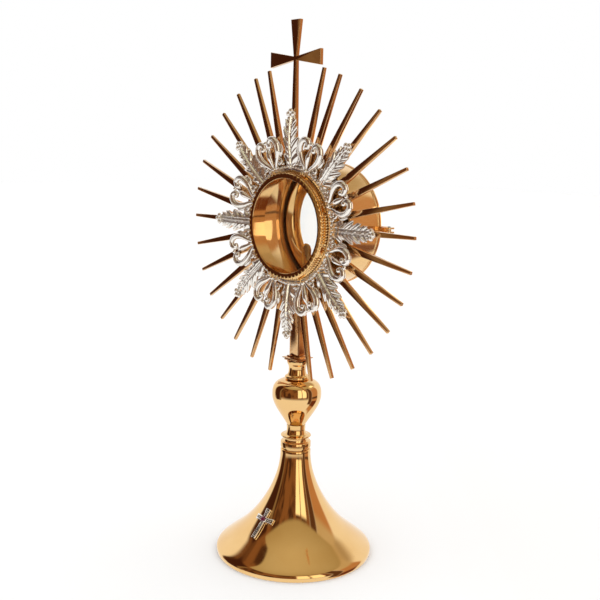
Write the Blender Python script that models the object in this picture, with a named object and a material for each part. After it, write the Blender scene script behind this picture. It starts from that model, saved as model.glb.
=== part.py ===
"""Gilt altar monstrance: trumpet foot, turned stem, ray sunburst, luna chamber with a hinged rear door.

The stem stands on the world Z axis with its foot on z = 0, and the front of the vessel faces -Y.
Sizes in this file are millimetres. MM turns them into Blender's metres when a mesh is made.
"""
import math

import bmesh
import bpy
from mathutils import Matrix, Vector

MM = 0.001

# Driving dimensions
GAP = 0.3                 # clearance left between pieces that touch
CENTRE_HEIGHT = 329.0     # axis of the luna chamber above the table
FOOT_RADIUS = 78.0
FOOT_WALL = 1.9
ROD_RADIUS = 3.0
BORE_RADIUS = ROD_RADIUS + 0.4

# Heights of the stem's joints, from the foot's crown up to the underside of the chamber
CROWN_UNDERSIDE = 102.5
FOOT_CROWN = 106.3
COLLAR_TOP = 131.0
KNOP_TOP = 177.0
SPOOL_TOP = 195.7
PLINTH_TOP = 201.0
POST_TOP = 269.0
POST_HALF_WIDTH = 5.8

# Distances forward of the stem's axis, along the chamber's axis
BEZEL_FRONT = 22.3
FRONT_GLASS_FACE = 20.5
ORNAMENT_BACK = 12.9
RAY_PLANE = 10.2
RING_FRONT = 7.6
DRUM_FRONT = 5.8
DOOR_FACE = -33.3
DOOR_GLASS_FACE = -42.9
DRUM_BACK = -46.8
DOOR_BACK = -49.5
GLASS_THICKNESS = 2.0

# Radii about the chamber's axis
OPENING_RADIUS = 45.0
FRONT_GLASS_RADIUS = 47.9
SLEEVE_RADIUS = 50.0
DOOR_APERTURE = 45.8
DOOR_GLASS_RADIUS = 51.2
PLUG_RADIUS = 57.4
DRUM_BORE = 58.0
DRUM_RADIUS = 59.5
DOOR_RADIUS = 60.0
RAY_ROOT_RADIUS = 56.0
RAY_TIP_RADIUS = 150.0
LEAF_TIP_RADIUS = 110.0

# Rays: every position of a 32-point star, except the cross ray on top and the post below
RAY_POSITIONS = 32
FIRST_RAY_DEGREES = 14.5  # the two rays beside the cross stand a little wider
RAY_ROOT_SIZE = (7.6, 4.6)
RAY_TIP_SIZE = (3.0, 3.0)
ORNAMENT_COUNT = 8

# Rear door's hinge, in world coordinates
HINGE_X = 76.0
HINGE_Y = 41.75
HINGE_Z = 328.0
HINGE_PIN_RADIUS = 1.0
HINGE_HOLE_RADIUS = 1.3
EAR_NEAR = 1.2            # each ear lies between these two distances above or below HINGE_Z
EAR_FAR = 2.7

# Lunula's rail on the floor of the drum
DRUM_FLOOR = CENTRE_HEIGHT - DRUM_BORE
RAIL_TOP = DRUM_FLOOR + 5.2
GROOVE_LOW = DRUM_FLOOR + 1.7
GROOVE_HIGH = DRUM_FLOOR + 4.1
GROOVE_HALF_WIDTH = 3.5
SLOT_HALF_WIDTH = 1.7
SLIDE_CLEARANCE = 0.4

ROUND_STEPS = 40
STEM_STEPS = 24
SMALL_STEPS = 12
SHARP_DEGREES = 32        # edges that turn more than this are drawn sharp


# Small tools

def clear_objects():
    """Start from an empty scene."""
    for item in list(bpy.data.objects):
        bpy.data.objects.remove(item, do_unlink=True)


def make_material(name, color, roughness, metallic=1.0, transmission=0.0):
    """Principled material with one colour."""
    material = bpy.data.materials.new(name)
    material.use_nodes = True
    material.diffuse_color = (*color, 1.0)
    shader = material.node_tree.nodes["Principled BSDF"]
    shader.inputs["Base Color"].default_value = (*color, 1.0)
    shader.inputs["Roughness"].default_value = roughness
    shader.inputs["Metallic"].default_value = metallic
    shader.inputs["Transmission Weight"].default_value = transmission
    return material


def bezier(start, start_handle, end_handle, end, pieces):
    """Points of a cubic curve after its start, up to and with its end."""
    points = []
    for index in range(1, pieces + 1):
        t = index / pieces
        s = 1.0 - t
        weights = (s ** 3, 3 * s * s * t, 3 * s * t * t, t ** 3)
        corners = (start, start_handle, end_handle, end)
        x = sum(w * c[0] for w, c in zip(weights, corners))
        y = sum(w * c[1] for w, c in zip(weights, corners))
        points.append((x, y))
    return points


def arc(centre, radius, start_degrees, end_degrees, pieces):
    """Points along an arc, both ends included."""
    points = []
    for index in range(pieces + 1):
        angle = math.radians(start_degrees + (end_degrees - start_degrees) * index / pieces)
        points.append((centre[0] + radius * math.cos(angle), centre[1] + radius * math.sin(angle)))
    return points


def inset(points, depth):
    """The outline moved to its right-hand side by depth, for the inner face of a spun shell."""
    moved = []
    for index, point in enumerate(points):
        before = Vector(points[max(index - 1, 0)])
        after = Vector(points[min(index + 1, len(points) - 1)])
        along = (after - before).normalized()
        moved.append((point[0] + along.y * depth, point[1] - along.x * depth))
    return moved


def face_outwards(body):
    """Turn every face of a closed body outwards."""
    bmesh.ops.recalc_face_normals(body, faces=body.faces)
    if body.calc_volume(signed=True) < 0.0:
        bmesh.ops.reverse_faces(body, faces=body.faces)


def lathe(outline, steps, closed=True):
    """Spin an outline of (radius, height) points about local Z.

    A closed outline makes a ring. An open one starts and ends on the axis and makes a solid.
    """
    body = bmesh.new()
    verts = [body.verts.new((radius * MM, 0.0, height * MM)) for radius, height in outline]
    pairs = list(zip(verts, verts[1:]))
    if closed:
        pairs.append((verts[-1], verts[0]))
    edges = [body.edges.new(pair) for pair in pairs]
    bmesh.ops.spin(body, geom=verts + edges, cent=(0, 0, 0), axis=(0, 0, 1), angle=math.tau, steps=steps)
    bmesh.ops.remove_doubles(body, verts=body.verts, dist=1e-6)
    face_outwards(body)
    return body


def prism(outline, low, high):
    """Extrude a flat (x, y) outline from height low to height high along local Z."""
    body = bmesh.new()
    face = body.faces.new([body.verts.new((x * MM, y * MM, low * MM)) for x, y in outline])
    result = bmesh.ops.extrude_face_region(body, geom=[face])
    top = [item for item in result["geom"] if isinstance(item, bmesh.types.BMVert)]
    bmesh.ops.translate(body, verts=top, vec=(0, 0, (high - low) * MM))
    face_outwards(body)
    return body


def block(low, high):
    """Box between two corners."""
    outline = [(low[0], low[1]), (high[0], low[1]), (high[0], high[1]), (low[0], high[1])]
    return prism(outline, low[2], high[2])


def upright(radius, low, high, x=0.0, y=0.0, steps=SMALL_STEPS):
    """Solid cylinder along Z."""
    outline = [(0.0, high), (radius, high), (radius, low), (0.0, low)]
    return moved(lathe(outline, steps, closed=False), Matrix.Translation((x, y, 0.0)))


def moved(body, matrix):
    """The same body under a matrix whose translation is in millimetres."""
    scaled = matrix.copy()
    scaled.translation = matrix.translation * MM
    bmesh.ops.transform(body, matrix=scaled, verts=body.verts)
    return body


def mesh_from(body, name):
    """Blender mesh from a bmesh, smooth except across real edges."""
    mesh = bpy.data.meshes.new(name)
    body.to_mesh(mesh)
    body.free()
    mesh.shade_smooth()
    mesh.set_sharp_from_angle(angle=math.radians(SHARP_DEGREES))
    return mesh


def combined(bodies, operation="UNION"):
    """One bmesh from several, by exact Booleans on the first of them."""
    helpers = []
    for index, body in enumerate(bodies):
        helper = bpy.data.objects.new(f"helper_{index}", mesh_from(body, "helper"))
        bpy.context.scene.collection.objects.link(helper)
        helpers.append(helper)
    for helper in helpers[1:]:
        modifier = helpers[0].modifiers.new("join", "BOOLEAN")
        modifier.operation = operation
        modifier.solver = "EXACT"
        modifier.object = helper
    bpy.context.view_layer.update()
    result = bmesh.new()
    result.from_object(helpers[0], bpy.context.evaluated_depsgraph_get())
    for helper in helpers:
        mesh = helper.data
        bpy.data.objects.remove(helper, do_unlink=True)
        bpy.data.meshes.remove(mesh)
    bmesh.ops.remove_doubles(result, verts=result.verts, dist=1e-6)
    return result


def add_node(name, shape, material, parent=None, turn=None):
    """Make one named object. shape is a bmesh, or a mesh shared with another object."""
    mesh = mesh_from(shape, name) if isinstance(shape, bmesh.types.BMesh) else shape
    if not mesh.materials:
        mesh.materials.append(material)
    item = bpy.data.objects.new(name, mesh)
    bpy.context.scene.collection.objects.link(item)
    item.parent = parent
    if turn is not None:
        item.rotation_euler = turn
    return item


def add_empty(name, location, turn=(0.0, 0.0, 0.0)):
    """Empty that carries a group of pieces."""
    item = bpy.data.objects.new(name, None)
    bpy.context.scene.collection.objects.link(item)
    item.location = Vector(location) * MM
    item.rotation_euler = turn
    return item


def around_axis(radius, degrees):
    """Point at a clockwise angle from straight up, seen from the front."""
    angle = math.radians(degrees)
    return (radius * math.sin(angle), radius * math.cos(angle))


# Foot and stem

def foot_outlines():
    """Outer and inner sides of the spun foot, from the crown down to the rim."""
    neck = (15.1, 103.0)
    turn_over = (57.5, 22.4)
    upper = bezier(neck, (15.2, 72.5), (36.4, 39.2), turn_over, 7)
    lower = bezier(turn_over, (74.5, 8.9), (FOOT_RADIUS, 7.2), (FOOT_RADIUS, 3.5), 5)
    outer = [neck] + upper + lower
    return outer, inset(outer, FOOT_WALL)


def build_foot(gilt):
    outer, inner = foot_outlines()
    crown = [(BORE_RADIUS, FOOT_CROWN), (13.0, FOOT_CROWN), (14.7, 105.9), (15.1, 105.0)]
    rim = [(77.8, 1.0), (77.1, 0.0), (75.2, 0.0), (74.8, 1.4), (75.4, 3.0)]
    under_crown = [(12.6, CROWN_UNDERSIDE), (BORE_RADIUS, CROWN_UNDERSIDE)]
    outline = crown + outer + rim + inner[-2:0:-1] + under_crown
    add_node("foot", lathe(outline, ROUND_STEPS), gilt)


def build_lower_collar(gilt):
    """Stepped drum, thin flange and short spool, turned from one piece."""
    low = FOOT_CROWN + GAP
    spool = [(9.4, COLLAR_TOP), (9.2, 126.5), (9.9, 122.6), (11.6, 120.5)]
    flange = [(14.9, 120.1), (15.1, 119.6), (14.9, 119.1)]
    cove = [(12.6, 118.3), (11.9, 116.6), (12.6, 114.9)]
    step = [(14.8, 113.9), (15.1, 113.2), (15.1, 108.4), (14.8, 107.9)]
    foot_groove = [(13.3, 107.6), (13.3, low)]
    outline = [(BORE_RADIUS, COLLAR_TOP)] + spool + flange + cove + step + foot_groove
    add_node("lower_collar", lathe(outline + [(BORE_RADIUS, low)], STEM_STEPS), gilt)


def build_knop(gilt):
    """Vase-shaped node: a full-shouldered dome over a long ogee."""
    low = COLLAR_TOP + GAP
    widest, widest_height = 24.4, 161.5
    dome_height = 16.5
    shoulder = 2.0 / 3.0      # exponent of the dome's curve: 1 makes an ellipse, less a fuller shoulder
    cut_angle = math.asin(((KNOP_TOP - widest_height) / dome_height) ** (1.0 / shoulder))
    pieces = 6
    dome = []
    for index in range(pieces + 1):
        angle = cut_angle * (1.0 - index / pieces)
        height = widest_height + dome_height * math.sin(angle) ** shoulder
        dome.append((widest * math.cos(angle) ** shoulder, height))
    vase = bezier((widest, widest_height), (widest, 151.5), (14.8, 141.0), (9.4, low), 7)
    outline = [(BORE_RADIUS, KNOP_TOP)] + dome + vase + [(BORE_RADIUS, low)]
    add_node("knop", lathe(outline, STEM_STEPS), gilt)


def build_upper_spool(gilt):
    low = KNOP_TOP + GAP
    waist = [(10.4, SPOOL_TOP), (10.2, 194.4), (8.9, 191.4), (8.5, 187.8), (8.8, 184.2), (9.9, 181.6)]
    bead = arc((10.4, 179.2), 1.9, 60.0, -80.0, 5)
    outline = [(BORE_RADIUS, SPOOL_TOP)] + waist + bead + [(BORE_RADIUS, low)]
    add_node("upper_spool", lathe(outline, STEM_STEPS), gilt)


def square(outline, closed=True):
    """Four-sided turning of (half width, height) points, faces square to X and Y."""
    corner = math.sqrt(2.0)
    stretched = [(half * corner, height) for half, height in outline]
    return moved(lathe(stretched, 4, closed), Matrix.Rotation(math.pi / 4, 4, "Z"))


def build_plinth(gilt):
    """Two square lips under the post."""
    low = SPOOL_TOP + GAP
    upper_lip = [(7.4, PLINTH_TOP), (7.4, 199.6), (10.8, 199.3), (10.6, 198.3)]
    lower_lip = [(8.3, 197.8), (9.5, 197.1), (8.6, low)]
    outline = [(BORE_RADIUS, PLINTH_TOP)] + upper_lip + lower_lip + [(BORE_RADIUS, low)]
    add_node("plinth", square(outline), gilt)


def build_post(gilt):
    low = PLINTH_TOP + GAP
    bore_end = 216.0
    outline = [(0.0, POST_TOP), (POST_HALF_WIDTH, POST_TOP), (POST_HALF_WIDTH, low)]
    outline += [(BORE_RADIUS, low), (BORE_RADIUS, bore_end), (0.0, bore_end)]
    add_node("post", square(outline, closed=False), gilt)


def build_tie(steel):
    """Rod through the whole stem, and the nut that draws it tight under the foot's crown."""
    rod_low, rod_high = 94.0, 215.5
    add_node("tie_rod", upright(ROD_RADIUS, rod_low, rod_high), steel)
    nut_radius, nut_height = 5.8, 5.5
    washer_radius, washer_height = 9.0, 1.0
    nut_high = CROWN_UNDERSIDE - GAP
    hexagon = arc((0.0, 0.0), nut_radius, 0.0, 300.0, 5)
    nut = prism(hexagon, nut_high - nut_height, nut_high)
    washer = upright(washer_radius, nut_high - washer_height, nut_high, steps=STEM_STEPS)
    bore = upright(BORE_RADIUS, nut_high - 2 * nut_height, nut_high + nut_height)
    body = combined([nut, washer])
    add_node("tie_nut", combined([body, bore], "DIFFERENCE"), steel)


def build_foot_cross(silver, garnet):
    """Small Latin cross and its stone, lying along the foot's front meridian."""
    slope = math.radians(50.2)
    carrier = add_empty("foot_cross_seat", (0.0, -42.0, 40.9), (slope, 0.0, 0.0))
    half_bar = 2.1
    half_end = 2.8
    up, side, down = 11.0, 11.0, 21.0
    half_foot = half_bar + 0.4
    lower_arm = [(half_bar, -half_bar), (half_foot, -down), (-half_foot, -down), (-half_bar, -half_bar)]
    left_arm = [(-side, -half_end), (-side, half_end), (-half_bar, half_bar)]
    top_arm = [(-half_end, up), (half_end, up), (half_bar, half_bar)]
    right_arm = [(side, half_end), (side, -half_end)]
    outline = lower_arm + left_arm + top_arm + right_arm
    thickness = 2.2
    add_node("foot_cross", prism(outline, 0.0, thickness), silver, carrier)
    seat = thickness + GAP
    dome = [(0.0, seat + 1.9), (1.4, seat + 1.6), (2.4, seat + 0.9), (2.9, seat), (0.0, seat)]
    add_node("foot_cross_stone", lathe(dome, SMALL_STEPS, closed=False), garnet, carrier)


# Sunburst

def ray_body():
    """Tapered square-ended bar pointing straight up in the head's frame."""
    body = bmesh.new()
    rings = []
    for radius, (width, depth) in ((RAY_ROOT_RADIUS, RAY_ROOT_SIZE), (RAY_TIP_RADIUS, RAY_TIP_SIZE)):
        corners = ((-1, -1), (1, -1), (1, 1), (-1, 1))
        ring = []
        for side, front in corners:
            place = (side * width / 2, radius, RAY_PLANE + front * depth / 2)
            ring.append(body.verts.new(Vector(place) * MM))
        rings.append(ring)
    body.faces.new(rings[0])
    body.faces.new(rings[1])
    for index in range(4):
        after = (index + 1) % 4
        body.faces.new((rings[0][index], rings[0][after], rings[1][after], rings[1][index]))
    face_outwards(body)
    return body


def build_rays(gilt, head):
    mesh = mesh_from(ray_body(), "ray")
    step = 360.0 / RAY_POSITIONS
    half = RAY_POSITIONS // 2
    for index in range(1, half):
        degrees = FIRST_RAY_DEGREES if index == 1 else index * step
        add_node(f"ray_right_{index:02d}", mesh, gilt, head, (0.0, 0.0, -math.radians(degrees)))
        add_node(f"ray_left_{index:02d}", mesh, gilt, head, (0.0, 0.0, math.radians(degrees)))


def build_cross_ray(gilt, head):
    """Top ray and the flared cross it carries, cast in one piece."""
    crossing = 155.0
    waist = 1.8
    arm, arm_flare = 33.4, 7.3
    top, top_flare = 190.0, 6.2
    root = RAY_ROOT_SIZE[0] / 2
    left = [(-root, RAY_ROOT_RADIUS), (-waist, crossing - waist), (-arm, crossing - arm_flare)]
    left += [(-arm, crossing + arm_flare), (-waist, crossing + waist), (-top_flare, top)]
    right = [(-x, y) for x, y in reversed(left)]
    half_thickness = 2.0
    body = prism(left + right, RAY_PLANE - half_thickness, RAY_PLANE + half_thickness)
    add_node("cross_ray", body, gilt, head)


def build_sunburst_ring(gilt, head):
    inner, outer = SLEEVE_RADIUS + 0.4, 72.0
    back = DRUM_FRONT + GAP
    outline = [(inner, RING_FRONT), (outer, RING_FRONT), (outer, back), (inner, back)]
    add_node("sunburst_ring", lathe(outline, ROUND_STEPS), gilt, head)


# Silver ornament

def leaf_outline():
    """Acanthus leaf with five pairs of lobes and a rounded tip, pointing up."""
    lobes = [(8.0, 60.0), (6.6, 64.0), (10.4, 71.0), (7.6, 75.0), (10.9, 81.0), (7.6, 85.0)]
    lobes += [(9.6, 91.0), (6.0, 94.5), (7.4, 99.5), (4.2, 101.5), (3.8, 105.5)]
    root = [(5.6, 53.5)]
    right = root + lobes
    left = [(-x, y) for x, y in reversed(right)]
    return right + [(1.6, LEAF_TIP_RADIUS - 0.4), (-1.6, LEAF_TIP_RADIUS - 0.4)] + left


def scroll_bodies(back, front):
    """Pair of round scrolls on a short stalk, pointing up."""
    loop_outer, loop_inner = 9.0, 4.6
    spread, reach = 7.4, 77.5
    bodies = []
    for side in (-1, 1):
        loop = [(loop_inner, front), (loop_outer, front), (loop_outer, back), (loop_inner, back)]
        ring = lathe(loop, SMALL_STEPS)
        bodies.append(moved(ring, Matrix.Translation((side * spread, reach, 0.0))))
    stalk = [(-6.0, 54.0), (6.0, 54.0), (1.8, 72.0), (1.2, 80.0), (-1.2, 80.0), (-1.8, 72.0)]
    bodies.append(prism(stalk, back + 0.1, front - 0.1))
    return bodies


def build_ornament(silver, head):
    """Eight castings round the bezel, each one leaf and the scroll clockwise of it."""
    back = ORNAMENT_BACK
    front = back + 2.6
    sector = 360.0 / ORNAMENT_COUNT
    inner, outer = SLEEVE_RADIUS + 2.0, 57.0
    trim = 0.25
    low_edge = -sector / 4 + trim
    high_edge = 3 * sector / 4 - trim
    pieces = 6
    angles = [low_edge + (high_edge - low_edge) * index / pieces for index in range(pieces + 1)]
    band_outline = [around_axis(inner, angle) for angle in angles]
    band_outline += [around_axis(outer, angle) for angle in reversed(angles)]
    bodies = [prism(band_outline, back, front - 0.4), prism(leaf_outline(), back + 0.2, front)]
    turn = Matrix.Rotation(-math.radians(sector / 2), 4, "Z")
    bodies += [moved(body, turn) for body in scroll_bodies(back + 0.1, front + 0.2)]
    mesh = mesh_from(combined(bodies), "ornament")
    for index in range(ORNAMENT_COUNT):
        turn_angle = (0.0, 0.0, -math.radians(index * sector))
        add_node(f"ornament_{index + 1}", mesh, silver, head, turn_angle)


# Luna chamber

def build_bezel(gilt, head):
    """Front lip, sleeve, and the collar that presses on the ornament's root."""
    sleeve_bore = FRONT_GLASS_RADIUS + GAP
    sleeve_back = 3.6
    lip_back = FRONT_GLASS_FACE + GAP
    lip = [(OPENING_RADIUS, BEZEL_FRONT), (49.3, BEZEL_FRONT), (SLEEVE_RADIUS, 21.6)]
    collar = [(SLEEVE_RADIUS, 16.0), (51.6, 15.4), (51.6, 13.6), (SLEEVE_RADIUS, 13.0)]
    inside = [(SLEEVE_RADIUS, sleeve_back), (sleeve_bore, sleeve_back), (sleeve_bore, lip_back)]
    outline = lip + collar + inside + [(OPENING_RADIUS, lip_back)]
    add_node("front_bezel", lathe(outline, ROUND_STEPS), gilt, head)


def pane(radius, front):
    """Round flat glass in the head's frame."""
    return upright(radius, front - GLASS_THICKNESS, front, steps=ROUND_STEPS)


def build_front_glass(glass, head):
    add_node("front_glass", pane(FRONT_GLASS_RADIUS, FRONT_GLASS_FACE), glass, head)


def build_drum(gilt, head):
    front_hole = SLEEVE_RADIUS + 0.4
    sheet = DRUM_RADIUS - DRUM_BORE
    edge = 0.6
    bead_radius = DRUM_RADIUS + 0.5
    wall = [(front_hole, DRUM_FRONT), (DRUM_RADIUS - edge, DRUM_FRONT), (DRUM_RADIUS, DRUM_FRONT - edge)]
    bead = [(DRUM_RADIUS, DRUM_BACK + 2.6), (bead_radius, DRUM_BACK + 2.2), (bead_radius, DRUM_BACK)]
    mouth = [(DRUM_BORE + 0.4, DRUM_BACK), (DRUM_BORE, DRUM_BACK + edge)]
    inside = [(DRUM_BORE, DRUM_FRONT - sheet), (front_hole, DRUM_FRONT - sheet)]
    add_node("drum", lathe(wall + bead + mouth + inside, ROUND_STEPS), gilt, head)


def hinge_ear(low, high):
    """One leaf of the door's hinge arm, flat in the world's XY plane."""
    eye = 2.5
    arm_root = 57.0
    arm_front = 47.5
    arm_back = -DOOR_BACK - GAP
    end = arc((HINGE_X, HINGE_Y), eye, -180.0, 0.0, 8)
    back_edge = [(HINGE_X + eye, arm_back - 2.8), (HINGE_X - 0.4, arm_back), (arm_root, arm_back)]
    front_edge = [(arm_root, arm_front), (HINGE_X - 3.6, arm_front), (HINGE_X - eye, arm_front - 1.3)]
    return prism(end + back_edge + front_edge, low, high)


def hinge_hole():
    """Cutter for the pin's hole, longer than the hinge."""
    reach = 6.0
    return upright(HINGE_HOLE_RADIUS, HINGE_Z - reach, HINGE_Z + reach, HINGE_X, HINGE_Y)


def door_knob():
    """Ball on a short neck, standing out of the door's back face."""
    neck_radius = 1.7
    ball_radius = 3.4
    neck = [(0.0, DOOR_BACK + 0.6), (neck_radius, DOOR_BACK + 0.6), (neck_radius, DOOR_BACK - 2.0)]
    ball = arc((0.0, DOOR_BACK - 4.8), ball_radius, 52.0, -90.0, 6)
    return lathe(neck + ball, SMALL_STEPS, closed=False)


def build_door(gilt, glass, head_matrix):
    """Plug ring, its hinge arm and its knob, and the glass in it, carried on the hinge axis."""
    hinge = add_empty("door_hinge", (HINGE_X, HINGE_Y, HINGE_Z))
    to_hinge = Matrix.Translation((-HINGE_X, -HINGE_Y, -HINGE_Z))
    flange_face = DRUM_BACK - GAP
    glass_seat = DOOR_GLASS_RADIUS + GAP
    seat_face = DOOR_GLASS_FACE + GAP
    flange = [(DOOR_RADIUS, flange_face), (DOOR_RADIUS, DOOR_BACK), (glass_seat, DOOR_BACK)]
    seat = [(glass_seat, seat_face), (DOOR_APERTURE, seat_face), (DOOR_APERTURE, seat_face + 1.0)]
    cone_mouth = 54.9
    cone = [(cone_mouth, DOOR_FACE)]
    plug = [(PLUG_RADIUS - 1.0, DOOR_FACE), (PLUG_RADIUS, flange_face + 3.6), (PLUG_RADIUS, flange_face)]
    ring = moved(lathe(flange + seat + cone + plug, ROUND_STEPS), head_matrix)
    knob_x, knob_y = around_axis(55.8, -45.0)
    knob = moved(door_knob(), head_matrix @ Matrix.Translation((knob_x, knob_y, 0.0)))
    lower_ear = hinge_ear(HINGE_Z - EAR_FAR, HINGE_Z - EAR_NEAR)
    upper_ear = hinge_ear(HINGE_Z + EAR_NEAR, HINGE_Z + EAR_FAR)
    body = combined([ring, knob, lower_ear, upper_ear])
    body = combined([body, hinge_hole()], "DIFFERENCE")
    add_node("door_ring", moved(body, to_hinge), gilt, hinge)
    door_pane = moved(pane(DOOR_GLASS_RADIUS, DOOR_GLASS_FACE), head_matrix)
    add_node("door_glass", moved(door_pane, to_hinge), glass, hinge)


def build_hinge(gilt, steel):
    """Lug on the drum's right side, and the pin through lug and door arm."""
    bar_half = 1.75
    bar_low = (DRUM_RADIUS + 0.4, HINGE_Y - bar_half, HINGE_Z - EAR_FAR)
    bar_high = (HINGE_X - 3.4, HINGE_Y + bar_half, HINGE_Z + EAR_FAR)
    tongue_half = 1.6
    tongue_root = HINGE_X - 5.0
    eye = arc((HINGE_X, HINGE_Y), 2.2, -90.0, 90.0, 8)
    tongue = [(tongue_root, HINGE_Y + tongue_half), (tongue_root, HINGE_Y - tongue_half)]
    knuckle = prism(eye + tongue, HINGE_Z - EAR_NEAR + GAP, HINGE_Z + EAR_NEAR - GAP)
    body = combined([block(bar_low, bar_high), knuckle])
    add_node("hinge_lug", combined([body, hinge_hole()], "DIFFERENCE"), gilt)
    head_radius, head_height = 1.8, 0.9
    head_low = HINGE_Z + EAR_FAR + GAP
    head_top = head_low + head_height
    low = HINGE_Z - EAR_FAR - 0.6
    head = [(0.0, head_top), (head_radius, head_top), (head_radius, head_low)]
    shank = [(HINGE_PIN_RADIUS, head_low), (HINGE_PIN_RADIUS, low), (0.0, low)]
    pin = moved(lathe(head + shank, SMALL_STEPS, closed=False), Matrix.Translation((HINGE_X, HINGE_Y, 0.0)))
    add_node("hinge_pin", pin, steel)


# Lunula and its rail, drawn from the front: x to the right, height up, depth along world Y

def along_depth(outline, front, back):
    """Extrude an (x, height) outline between two world Y values."""
    facing = Matrix.Rotation(math.pi / 2, 4, "X")
    return moved(prism(outline, -back, -front), facing)


def build_lunula_rail(gilt):
    """T-slotted bar, open upwards and at both ends."""
    low = DRUM_FLOOR + 0.7    # its flat underside bridges the curve of the drum
    half = 5.4
    front, back = -2.0, 31.0
    lip = [(half, low), (half, RAIL_TOP), (SLOT_HALF_WIDTH, RAIL_TOP), (SLOT_HALF_WIDTH, GROOVE_HIGH)]
    groove = [(GROOVE_HALF_WIDTH, GROOVE_HIGH), (GROOVE_HALF_WIDTH, GROOVE_LOW)]
    right = lip + groove
    left = [(-x, y) for x, y in reversed(right)]
    add_node("lunula_rail", along_depth(right + left, front, back), gilt)


def lunula_body(front, back):
    """T-shaped foot that runs in the rail, a stem, and the crescent on it."""
    runner_half = GROOVE_HALF_WIDTH - SLIDE_CLEARANCE
    runner_front, runner_back = 4.0, 16.0
    runner_low, runner_high = GROOVE_LOW + GAP, GROOVE_HIGH - GAP
    runner = block((-runner_half, runner_front, runner_low), (runner_half, runner_back, runner_high))
    neck_half = SLOT_HALF_WIDTH - SLIDE_CLEARANCE
    neck_low, neck_high = runner_high - 0.8, RAIL_TOP + 2.8
    neck = block((-neck_half, 6.5, neck_low), (neck_half, 13.0, neck_high))
    stem_half = 3.0
    stem_low, stem_high = RAIL_TOP + 0.6, RAIL_TOP + 14.8
    stem = block((-stem_half, front + 0.1, stem_low), (stem_half, back - 0.1, stem_high))
    outer = arc((0.0, CENTRE_HEIGHT - 16.5), 24.2, 3.4, -183.4, 18)
    inner = arc((0.0, CENTRE_HEIGHT - 3.0), 26.3, -152.0, -28.0, 12)
    crescent = along_depth(outer + inner, front, back)
    return combined([runner, neck, stem, crescent])


def clip_body(front, back):
    """Round-headed tab that stands in front of the crescent."""
    half, foot_half = 6.5, 3.0
    low, shoulder_low, shoulder_high = 279.3, 283.0, 287.0
    foot = [(-half, shoulder_high), (-foot_half, shoulder_low), (-foot_half, low)]
    tab = foot + [(-x, y) for x, y in reversed(foot)]
    head_arc = arc((0.0, CENTRE_HEIGHT - 24.5), half, 0.0, 180.0, 10)
    return along_depth(tab + head_arc, front, back)


def build_lunula(gilt):
    """Crescent on its sliding foot, and the clip in front of it."""
    plate = 1.6
    crescent_front = 10.0
    clip_back = crescent_front - 1.0
    slide = add_empty("lunula_slide", (0.0, crescent_front, DRUM_FLOOR))
    home = Matrix.Translation((0.0, -crescent_front, -DRUM_FLOOR))
    lunula = lunula_body(crescent_front, crescent_front + plate)
    add_node("lunula", moved(lunula, home), gilt, slide)
    clip = clip_body(clip_back - plate, clip_back)
    add_node("lunula_clip", moved(clip, home), gilt, slide)


def build_monstrance():
    clear_objects()
    gilt = make_material("gilt_brass", (0.83, 0.53, 0.22), 0.12)
    silver = make_material("silver_plate", (0.85, 0.84, 0.82), 0.18)
    steel = make_material("steel", (0.55, 0.55, 0.56), 0.3)
    glass = make_material("clear_glass", (0.97, 0.98, 0.98), 0.0, metallic=0.0, transmission=1.0)
    garnet = make_material("garnet", (0.28, 0.01, 0.05), 0.05, metallic=0.0, transmission=0.5)
    # The head's frame: local X to the right, local Y up, local Z out of the vessel's front
    head = add_empty("head", (0.0, 0.0, CENTRE_HEIGHT), (math.pi / 2, 0.0, 0.0))
    head_matrix = Matrix.Translation((0.0, 0.0, CENTRE_HEIGHT)) @ Matrix.Rotation(math.pi / 2, 4, "X")
    build_foot(gilt)
    build_foot_cross(silver, garnet)
    build_lower_collar(gilt)
    build_knop(gilt)
    build_upper_spool(gilt)
    build_plinth(gilt)
    build_post(gilt)
    build_tie(steel)
    build_sunburst_ring(gilt, head)
    build_rays(gilt, head)
    build_cross_ray(gilt, head)
    build_ornament(silver, head)
    build_bezel(gilt, head)
    build_front_glass(glass, head)
    build_drum(gilt, head)
    build_door(gilt, glass, head_matrix)
    build_hinge(gilt, steel)
    build_lunula_rail(gilt)
    build_lunula(gilt)


build_monstrance()
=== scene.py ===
import math
import random

import bmesh
import bpy
import numpy as np
from mathutils import Matrix, Vector


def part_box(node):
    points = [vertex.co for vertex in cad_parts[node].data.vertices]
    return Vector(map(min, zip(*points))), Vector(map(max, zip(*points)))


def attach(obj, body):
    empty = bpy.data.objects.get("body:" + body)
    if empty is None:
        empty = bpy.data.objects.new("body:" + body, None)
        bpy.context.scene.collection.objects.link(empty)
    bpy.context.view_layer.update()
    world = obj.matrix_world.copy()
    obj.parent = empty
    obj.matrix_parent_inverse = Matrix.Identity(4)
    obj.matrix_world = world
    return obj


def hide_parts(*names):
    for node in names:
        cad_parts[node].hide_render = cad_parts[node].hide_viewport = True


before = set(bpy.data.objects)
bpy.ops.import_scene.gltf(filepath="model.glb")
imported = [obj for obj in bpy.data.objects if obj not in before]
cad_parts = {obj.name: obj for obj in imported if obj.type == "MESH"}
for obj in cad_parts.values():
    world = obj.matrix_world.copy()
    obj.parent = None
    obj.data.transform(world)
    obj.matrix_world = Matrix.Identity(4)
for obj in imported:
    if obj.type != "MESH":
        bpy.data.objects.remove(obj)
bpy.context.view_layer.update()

# Looks of a gilt altar monstrance. +Z runs up the stem and the sunburst faces -Y.
# Lengths are millimetres until a mesh is made. The head's own frame has x to the right,
# y up and z out of the front, with its origin on the chamber's axis.

MM = 0.001
VESSEL = "vessel"
DOOR = "rear_door"
CARRIER = "lunula_carrier"


def node_box(node):
    """Corners of a CAD node in millimetres."""
    low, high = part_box(node)
    return low / MM, high / MM


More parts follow.
